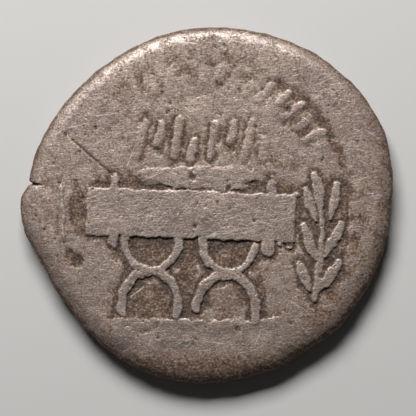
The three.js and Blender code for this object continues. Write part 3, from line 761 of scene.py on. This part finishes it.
def face_below():
    """Maps of the underside: height over the ground, grime and rub. All worn tops lie on the ground."""
    x, y = map_places()
    x, y = x + noises(WANDER_BELOW_X), y + noises(WANDER_BELOW_Y)
    away = np.minimum(np.hypot(x, y) - BOSS_RADIUS, wreath(x, y))
    away = np.minimum(away, spokes(x, y, RING_FOOT, RING_HEAD, 0, 360, RING_COUNT, RING_SEED))
    standing = smooth(*BANK_BELOW, away + noises(ROUGH_BELOW))
    bearing = np.degrees(np.arctan2(y, x)) % 360
    share = np.hypot(x, y) / (flan_radius(bearing) - SHOULDER_BELOW)
    dish = smooth(DISH_BANK_RADIUS, DISH_FLOOR_RADIUS, share * (MEAN_RADIUS - NOMINAL_SHOULDER))
    floor_share = dish * (1 - standing)
    height = np.maximum(DISH_DEPTH * floor_share + noises(HAMMERED_BELOW) + LEAST_BELOW, 0)
    grime_and_shade = np.clip(floor_share * (DIRT_BELOW + noises(PATCHY_BELOW)), 0, 1)
    rub_and_highlight = smooth(*RUB_BELOW, soften(height, RUB_BLUR) - height)
    return height, grime_and_shade, rub_and_highlight


def quarter(rows):
    """Angles of a quarter turn in even steps, down a column and without the first."""
    return np.radians(90 * np.arange(1, rows + 1)[:, None] / rows)


def coin_section(bearing):
    """Radius and height of the smooth skin, with a row for each ring and a column for each bearing.
    Rows run from the middle of the top out over the dome, which falls as a power of the way out, down
    round the shoulder and the lower edge, and in over the underside. The lower edge is a quarter of an
    ellipse and the shoulder a squarer one, whose height is the root of 1 less the power of how far out
    it is."""
    edge = flan_radius(bearing)
    level = np.zeros(edge.shape)
    shoulder = shoulder_above(bearing)
    share = np.arange(1, TOP_ROWS + 1)[:, None] / TOP_ROWS
    top_radius = share * (edge - shoulder)
    top_height = level + FIELD_HEIGHT - (FIELD_HEIGHT - MARGIN_HEIGHT) * share ** DOME_POWER
    out = np.sin(quarter(SHOULDER_ROWS))
    arch = (1 - out ** SHOULDER_SQUARENESS) ** (1 / SHOULDER_SQUARENESS)
    upper_radius = edge - shoulder * (1 - out)
    upper_height = level + WAIST_HEIGHT + (MARGIN_HEIGHT - WAIST_HEIGHT) * arch
    turn = quarter(LOWER_ROWS)
    lower_radius = edge - SHOULDER_BELOW * (1 - np.cos(turn))
    lower_height = level + WAIST_HEIGHT * (1 - np.sin(turn))
    share = 1 - np.arange(1, UNDER_ROWS)[:, None] / UNDER_ROWS
    under_radius = share * (edge - SHOULDER_BELOW)
    under_height = level + 0 * share
    radius = np.concatenate([top_radius, upper_radius, lower_radius, under_radius])
    return radius, np.concatenate([top_height, upper_height, lower_height, under_height])


def coin_skin():
    """The coin's closed skin as points and triangles: the section, dented and cracked at the side by
    noise and a bell times half a sine down the side, with a point at each pole."""
    bearing = np.arange(COLUMNS) * 360 / COLUMNS
    radius, height = coin_section(bearing)
    side = np.zeros(radius.shape)
    first_side, last_side = TOP_ROWS, TOP_ROWS + SHOULDER_ROWS + LOWER_ROWS
    side[first_side:last_side] = np.sin(np.pi * np.linspace(0, 1, last_side - first_side)[:, None])
    crack = CRACK_IN * np.exp(-(((bearing - CRACK_BEARING) / CRACK_HALF) ** 2))
    radius = radius + (noises(HAMMERED_SKIN, radius.shape, SKIN_SPACING) - crack * side) * side
    angle = np.radians(bearing)
    grid = np.stack([radius * np.cos(angle), radius * np.sin(angle), height], axis=2)
    points = np.concatenate([[(0, 0, FIELD_HEIGHT)], grid.reshape(-1, 3), [(0, 0, 0)]])
    ring = 1 + np.arange(radius.size).reshape(radius.shape)
    beside = np.roll(ring, -1, axis=1)
    one = np.stack([ring[:-1], ring[1:], beside[1:]], axis=2).reshape(-1, 3)
    two = np.stack([ring[:-1], beside[1:], beside[:-1]], axis=2).reshape(-1, 3)
    top = np.stack([0 * ring[0], ring[0], beside[0]], axis=1)
    bottom = np.stack([0 * ring[0] + len(points) - 1, beside[-1], ring[-1]], axis=1)
    return points, np.concatenate([top, one, two, bottom])


def struck(points):
    """The skin's points moved by the relief of each side, with the grime and painted shade and the rub and
    painted highlight of each point.
    The relief above dies away down the shoulder, in step with the height over the waist."""
    x, y, z = points.T
    above = z > WAIST_HEIGHT
    flat = z <= 0
    moved = points.copy()
    # Below the waist the side holds grime and painted shade
    grime_and_shade = np.full(len(points), SIDE_GRIME_AND_SHADE)
    rub_and_highlight = np.zeros(len(points))
    height, dirt_and_shade, shine = face_above()
    share = np.clip((z[above] - WAIST_HEIGHT) / (MARGIN_HEIGHT - WAIST_HEIGHT), 0, 1)
    moved[above, 2] += read(height, x[above], y[above]) * share
    # Grime and painted shade on the side, fading out up the shoulder
    on_side = SIDE_GRIME_AND_SHADE * smooth(*SIDE_GRIME_AND_SHADE_HEIGHT, share)
    grime_and_shade[above] = np.maximum(read(dirt_and_shade, x[above], y[above]), on_side)
    rub_and_highlight[above] = read(shine, x[above], y[above])
    height, dirt_and_shade, shine = face_below()
    moved[flat, 2] += read(height, x[flat], y[flat])
    grime_and_shade[flat] = read(dirt_and_shade, x[flat], y[flat])
    rub_and_highlight[flat] = read(shine, x[flat], y[flat])
    return moved, grime_and_shade, rub_and_highlight


def mesh_of(name, points, triangles):
    """A mesh of triangles, from points in millimetres."""
    mesh = bpy.data.meshes.new(name)
    mesh.vertices.add(len(points))
    mesh.vertices.foreach_set("co", (points * MM).astype(np.float32).ravel())
    mesh.loops.add(3 * len(triangles))
    mesh.loops.foreach_set("vertex_index", triangles.astype(np.int32).ravel())
    mesh.polygons.add(len(triangles))
    mesh.polygons.foreach_set("loop_start", np.arange(0, 3 * len(triangles), 3, dtype=np.int32))
    mesh.update(calc_edges=True)
    mesh.validate()
    return mesh


def write_attribute(mesh, name, values):
    """Keeps a number at each point of a mesh under a name."""
    layer = mesh.attributes.new(name, "FLOAT", "POINT")
    layer.data.foreach_set("value", values.astype(np.float32))


def thinned(piece):
    """Collapses edges where the skin is nearly flat, and keeps the result as the piece's own mesh."""
    thin = piece.modifiers.new("thin", "DECIMATE")
    thin.ratio = MOST_TRIANGLES / len(piece.data.polygons)
    evaluated = piece.evaluated_get(bpy.context.evaluated_depsgraph_get())
    full = piece.data
    piece.data = bpy.data.meshes.new_from_object(evaluated)
    piece.modifiers.clear()
    bpy.data.meshes.remove(full)
    piece.data.name = piece.name


def flat_layout(mesh):
    """The UV map: each side of the coin is a disc, turned out over its round edge as far as the waist.
    A point lies at its own bearing, at its radius and, on the edge, the height from the side added."""
    places = np.empty(3 * len(mesh.vertices), np.float32)
    mesh.vertices.foreach_get("co", places)
    corners = np.empty(len(mesh.loops), np.int32)
    mesh.loops.foreach_get("vertex_index", corners)
    x, y, z = places.reshape(-1, 3).T.astype(float)[:, corners] / MM
    bearing = np.degrees(np.arctan2(y, x)) % 360
    radius = np.hypot(x, y)
    edge = flan_radius(bearing)
    on_shoulder = radius > edge - shoulder_above(bearing)
    on_lower_edge = radius > edge - SHOULDER_BELOW
    out_above = radius + np.where(on_shoulder, np.maximum(MARGIN_HEIGHT - z, 0), 0)
    out_below = radius + np.where(on_lower_edge, z, 0)
    upper = np.repeat(z.reshape(-1, 3).mean(axis=1) > WAIST_HEIGHT, 3)
    out = np.where(upper, out_above * TOP_DISC[2], out_below * UNDER_DISC[2])
    out = out / (MEAN_RADIUS + WIDEST_OVER_MEAN)
    turn = np.radians(bearing)
    layout = mesh.uv_layers.new(name="OFBake")
    u = np.where(upper, TOP_DISC[0] + out * np.cos(turn), UNDER_DISC[0] - out * np.cos(turn))
    v = np.where(upper, TOP_DISC[1] + out * np.sin(turn), UNDER_DISC[1] + out * np.sin(turn))
    layout.data.foreach_set("uv", np.stack([u, v], axis=1).astype(np.float32).ravel())


def make_coin():
    """The skin struck with the relief of both sides, thinned, laid out and given its silver."""
    points, triangles = coin_skin()
    moved, grime_and_shade, rub_and_highlight = struck(points)
    piece = bpy.data.objects.new("coin_struck", mesh_of("coin_struck", moved, triangles))
    write_attribute(piece.data, "grime_and_shade", grime_and_shade)
    write_attribute(piece.data, "rub_and_highlight", rub_and_highlight)
    bpy.context.collection.objects.link(piece)
    thinned(piece)
    flat_layout(piece.data)
    piece.data.shade_smooth()
    piece.data.materials.append(silver())
    return piece


def add(tree, kind, **inputs):
    """Adds a shader node and sets its inputs by name, where an underscore stands for a space."""
    node = tree.nodes.new(kind)
    for name, value in inputs.items():
        plug(tree, node.inputs[name.replace("_", " ")], value)
    return node


def plug(tree, socket, value):
    if isinstance(value, bpy.types.NodeSocket):
        tree.links.new(value, socket)
    else:
        socket.default_value = value


def noise(tree, place, size, detail, stretch=1.0, bearing=0.0):
    """Noise whose bumps are about so many millimetres across, drawn out along a bearing."""
    mapped = add(tree, "ShaderNodeMapping", Vector=place, Rotation=(0, 0, math.radians(bearing)),
                 Scale=(size * MM * stretch, size * MM, size * MM))
    mapped.vector_type = "TEXTURE"
    return add(tree, "ShaderNodeTexNoise", Vector=mapped.outputs["Vector"], Scale=1.0, Detail=detail,
               Roughness=0.6).outputs["Fac"]


def ranged(tree, value, low, high, first, last):
    """Maps low to first and high to last, and holds at both ends. Most of a noise lies from 0.3 to 0.7."""
    node = add(tree, "ShaderNodeMapRange", Value=value,
               From_Min=low, From_Max=high, To_Min=first, To_Max=last)
    return node.outputs["Result"]


def tally(tree, kind, *values):
    """One sum, product or the like over two values or more, taken in turn."""
    total = values[0]
    for value in values[1:]:
        node = tree.nodes.new("ShaderNodeMath")
        node.operation = kind
        plug(tree, node.inputs[0], total)
        plug(tree, node.inputs[1], value)
        total = node.outputs["Value"]
    return total


def tint(tree, share, first, second):
    """Blends two colours by a share."""
    node = tree.nodes.new("ShaderNodeMix")
    node.data_type = "RGBA"
    plug(tree, node.inputs["Factor"], share)
    plug(tree, node.inputs["A"], first)
    plug(tree, node.inputs["B"], second)
    return node.outputs["Result"]


def painted(tree, name):
    """The number that the mesh keeps under a name."""
    node = tree.nodes.new("ShaderNodeAttribute")
    node.attribute_name = name
    return node.outputs["Fac"]


def polar(tree, place):
    """Coordinates along the radius and round the rim, whose seam is at the foot of the coin."""
    parts = add(tree, "ShaderNodeSeparateXYZ", Vector=place).outputs
    square = tally(tree, "ADD", tally(tree, "MULTIPLY", parts["X"], parts["X"]),
                   tally(tree, "MULTIPLY", parts["Y"], parts["Y"]))
    radius = tally(tree, "POWER", square, 0.5)
    turn = tally(tree, "ARCTAN2", parts["X"], parts["Y"])
    round_rim = tally(tree, "MULTIPLY", turn, MEAN_RADIUS * MM)
    return add(tree, "ShaderNodeCombineXYZ", X=radius, Y=round_rim).outputs["Vector"]


def scratches(tree, place, cell, reach, half, shift):
    """Short straight scratches, one in each cell of a random pattern, mostly near level: a cell's own
    random angle turns the offset from its middle, and the scratch is where that is nearly along X."""
    moved = add(tree, "ShaderNodeMapping", Vector=place, Location=(shift * MM, 0, 0)).outputs["Vector"]
    cells = add(tree, "ShaderNodeTexVoronoi", Vector=moved, Scale=1 / (cell * MM))
    cells.voronoi_dimensions = "2D"
    offset = tree.nodes.new("ShaderNodeVectorMath")
    offset.operation = "SUBTRACT"
    plug(tree, offset.inputs[0], moved)
    plug(tree, offset.inputs[1], cells.outputs["Position"])
    chance = add(tree, "ShaderNodeSeparateColor", Color=cells.outputs["Color"]).outputs
    angle = tally(tree, "MULTIPLY", tally(tree, "SUBTRACT", chance["Red"], LEVEL_CHANCE), SCRATCH_TURN)
    steep = tally(tree, "MULTIPLY", tally(tree, "GREATER_THAN", chance["Green"], STEEP_CHANCE), STEEP_TURN)
    turned = add(tree, "ShaderNodeVectorRotate", Vector=offset.outputs["Vector"],
                 Angle=tally(tree, "ADD", angle, steep))
    turned.rotation_type = "Z_AXIS"
    parts = add(tree, "ShaderNodeSeparateXYZ", Vector=turned.outputs["Vector"]).outputs
    along = tally(tree, "ABSOLUTE", parts["X"], 0.0)
    across = tally(tree, "ABSOLUTE", parts["Y"], 0.0)
    narrow = ranged(tree, across, 0, half * MM, 1, 0)
    short = ranged(tree, along, 0.5 * reach * MM, reach * MM, 1, 0)
    strength = ranged(tree, chance["Blue"], 0.2, 1.0, 0, 1)
    return tally(tree, "MULTIPLY", narrow, short, strength)


def bare_silver(tree, place, rub_and_highlight, sand, streaks):
    """Colour of clean silver: dark and pale clouds, tarnished patches, rubbed tops, the painted highlight
    on the top rim and dark grain.
    """
    cloudy = ranged(tree, noise(tree, place, CLOUD_SIZE, 3), 0.35, 0.65, 0, 1)
    tarnished = ranged(tree, noise(tree, place, PATCH_SIZE, 4), 0.5, 0.66, 0, 0.4)
    rubbed_and_highlit = ranged(tree, rub_and_highlight, 0.2, 1.0, 0, 0.45)
    sandy = ranged(tree, sand, 0.36, 0.54, 0.45, 0)
    streaky = ranged(tree, streaks, 0.34, 0.46, 0.4, 0)
    colour = tint(tree, cloudy, DARK_CLOUD, PALE_CLOUD)
    colour = tint(tree, tarnished, colour, TARNISH)
    # Rubbed tops, and the painted highlight on the top rim, in paler silver
    colour = tint(tree, rubbed_and_highlit, colour, RUBBED_AND_HIGHLIT_SILVER)
    colour = tint(tree, sandy, colour, DARK_SAND)
    return tint(tree, streaky, colour, DARK_STREAK)


def dirt_and_shade_layer(tree, place, grime_and_shade, pores):
    """Share and colour of the dirt and of the painted shade, which takes the dirt's colour: the grime
    and shade, more in pores and broken up by crumbs and by grit. It is darker where it is thick, and
    holds pale grains where it is thin."""
    crumbs = noise(tree, place, CRUMB_SIZE, 5)
    grit = noise(tree, place, GRIT_SIZE, 4)
    in_pores = ranged(tree, pores, 0.64, 0.75, 0, 0.5)
    by_crumbs = ranged(tree, crumbs, 0.3, 0.7, 0.09, -0.09)
    by_grit = ranged(tree, grit, 0.3, 0.7, 0.28, -0.28)
    thickness = tally(tree, "ADD", grime_and_shade, in_pores, by_crumbs, by_grit)
    thick = ranged(tree, thickness, 0.55, 1.1, 0, 1)
    grains = ranged(tree, grit, 0.5, 0.66, 0, 0.75)
    grains = tally(tree, "MULTIPLY", grains, ranged(tree, thick, 0, 0.8, 1, 0.1))
    colour = tint(tree, grains, tint(tree, thick, THIN_DIRT_AND_SHADE, THICK_DIRT_AND_SHADE), PALE_GRAINS)
    return ranged(tree, thickness, 0.12, 0.62, 0, 0.92), colour


def flecks(tree, place, rub_and_highlight, dirt_and_shade_share, sand, streaks):
    """Share of bright flecks: the finest bumps and scratches where it is clean, and the deep scratches,
    where the rub is over 1, everywhere."""
    bright_sand = ranged(tree, sand, 0.56, 0.68, 0, 0.4)
    bright_streaks = ranged(tree, streaks, 0.58, 0.7, 0, 0.5)
    long = scratches(tree, place, *LONG_SCRATCHES)
    short = scratches(tree, place, *SHORT_SCRATCHES)
    fine = tally(tree, "MAXIMUM", bright_sand, bright_streaks, long, short)
    fine = tally(tree, "MULTIPLY", fine, ranged(tree, dirt_and_shade_share, 0.2, 0.8, 1, 0.3))
    return tally(tree, "MAXIMUM", fine, ranged(tree, rub_and_highlight, 1.0, 2.0, 0, 0.8))


def silver():
    """Worn silver: satin metal with rubbed tops and a painted highlight on the top rim, and dull brown
    dirt and painted shade by the mesh's grime and shade, with fine bumps all over.
    """
    material = bpy.data.materials.new("worn_silver")
    material.use_nodes = True
    tree = material.node_tree
    tree.nodes.clear()
    place = add(tree, "ShaderNodeTexCoord").outputs["Object"]
    grime_and_shade = painted(tree, "grime_and_shade")
    rub_and_highlight = painted(tree, "rub_and_highlight")
    sand = noise(tree, place, SAND_SIZE, 2)
    pores = noise(tree, place, PORE_SIZE, 1)
    streaks = noise(tree, place, STREAK_SIZE, 2, STREAK_STRETCH, STREAK_BEARING)
    flowing = noise(tree, polar(tree, place), FLOW_SIZE, 2, FLOW_STRETCH)
    clean = bare_silver(tree, place, rub_and_highlight, sand, streaks)
    dirt_and_shade_share, dirt_and_shade = dirt_and_shade_layer(tree, place, grime_and_shade, pores)
    # Dirt, and painted shade in the dirt's colours, over the clean silver
    colour = tint(tree, dirt_and_shade_share, clean, dirt_and_shade)
    colour = tint(tree, flecks(tree, place, rub_and_highlight, dirt_and_shade_share, sand, streaks), colour, BRIGHT_FLECK)
    metal = ranged(tree, dirt_and_shade_share, 0, 0.9, 0.8, 0.05)
    roughness = ranged(tree, dirt_and_shade_share, 0, 0.7, 0.57, 0.85)
    lines = tally(tree, "ADD", streaks, tally(tree, "MULTIPLY", flowing, 0.6))
    relief = tally(tree, "ADD", sand, tally(tree, "MULTIPLY", lines, 0.5))
    relief = tally(tree, "SUBTRACT", relief, ranged(tree, pores, 0.6, 0.75, 0, 0.8))
    bump = add(tree, "ShaderNodeBump", Height=relief, Distance=GRAIN_HEIGHT * MM, Strength=1.0)
    shader = add(tree, "ShaderNodeBsdfPrincipled", Base_Color=colour, Metallic=metal, Roughness=roughness,
                 Normal=bump.outputs["Normal"])
    output = add(tree, "ShaderNodeOutputMaterial", Surface=shader.outputs["BSDF"])
    output.is_active_output = True
    return material


def floor():
    """A square floor just under the coin."""
    half, level = FLOOR_HALF * MM, FLOOR_LEVEL * MM
    mesh = bpy.data.meshes.new("floor")
    corners = [(-half, -half, level), (half, -half, level), (half, half, level), (-half, half, level)]
    mesh.from_pydata(corners, [], [(0, 1, 2, 3)])
    piece = bpy.data.objects.new("floor", mesh)
    bpy.context.collection.objects.link(piece)
    material = bpy.data.materials.new("pale_floor")
    material.use_nodes = True
    shader = material.node_tree.nodes["Principled BSDF"]
    shader.inputs["Base Color"].default_value = FLOOR_COLOUR
    shader.inputs["Roughness"].default_value = FLOOR_ROUGHNESS
    mesh.materials.append(material)


def softbox():
    """A rectangular lamp that faces the coin."""
    lamp = bpy.data.lights.new("key", "AREA")
    lamp.shape = "RECTANGLE"
    lamp.size, lamp.size_y = LAMP_WIDTH * MM, LAMP_DEPTH * MM
    lamp.energy = LAMP_WATTS
    piece = bpy.data.objects.new("key", lamp)
    piece.location = Vector(LAMP_PLACE) * MM
    piece.rotation_euler = (-Vector(LAMP_PLACE)).to_track_quat("-Z", "Y").to_euler()
    bpy.context.collection.objects.link(piece)


def camera():
    """A long lens straight above, as high as fits the frame's width into its angle."""
    lens = bpy.data.cameras.new("camera")
    lens.lens, lens.sensor_width = LENS, SENSOR
    lens.clip_start, lens.clip_end = 0.001, 10
    piece = bpy.data.objects.new("camera", lens)
    height = FRAME_HEIGHT_OVER_GROUND + FRAME_WIDTH * LENS / SENSOR
    piece.location = (CAMERA_MIDDLE[0] * MM, CAMERA_MIDDLE[1] * MM, height * MM)
    bpy.context.collection.objects.link(piece)
    bpy.context.scene.camera = piece


def world():
    """Faint light from all round."""
    bpy.context.scene.world = bpy.data.worlds.new("studio")
    bpy.context.scene.world.use_nodes = True
    back = bpy.context.scene.world.node_tree.nodes["Background"]
    back.inputs["Color"].default_value = WORLD_COLOUR
    back.inputs["Strength"].default_value = WORLD_STRENGTH


camera()
world()
bpy.context.scene.view_settings.view_transform = "Standard"
softbox()
floor()
coin = make_coin()
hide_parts("coin")
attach(coin, "root")
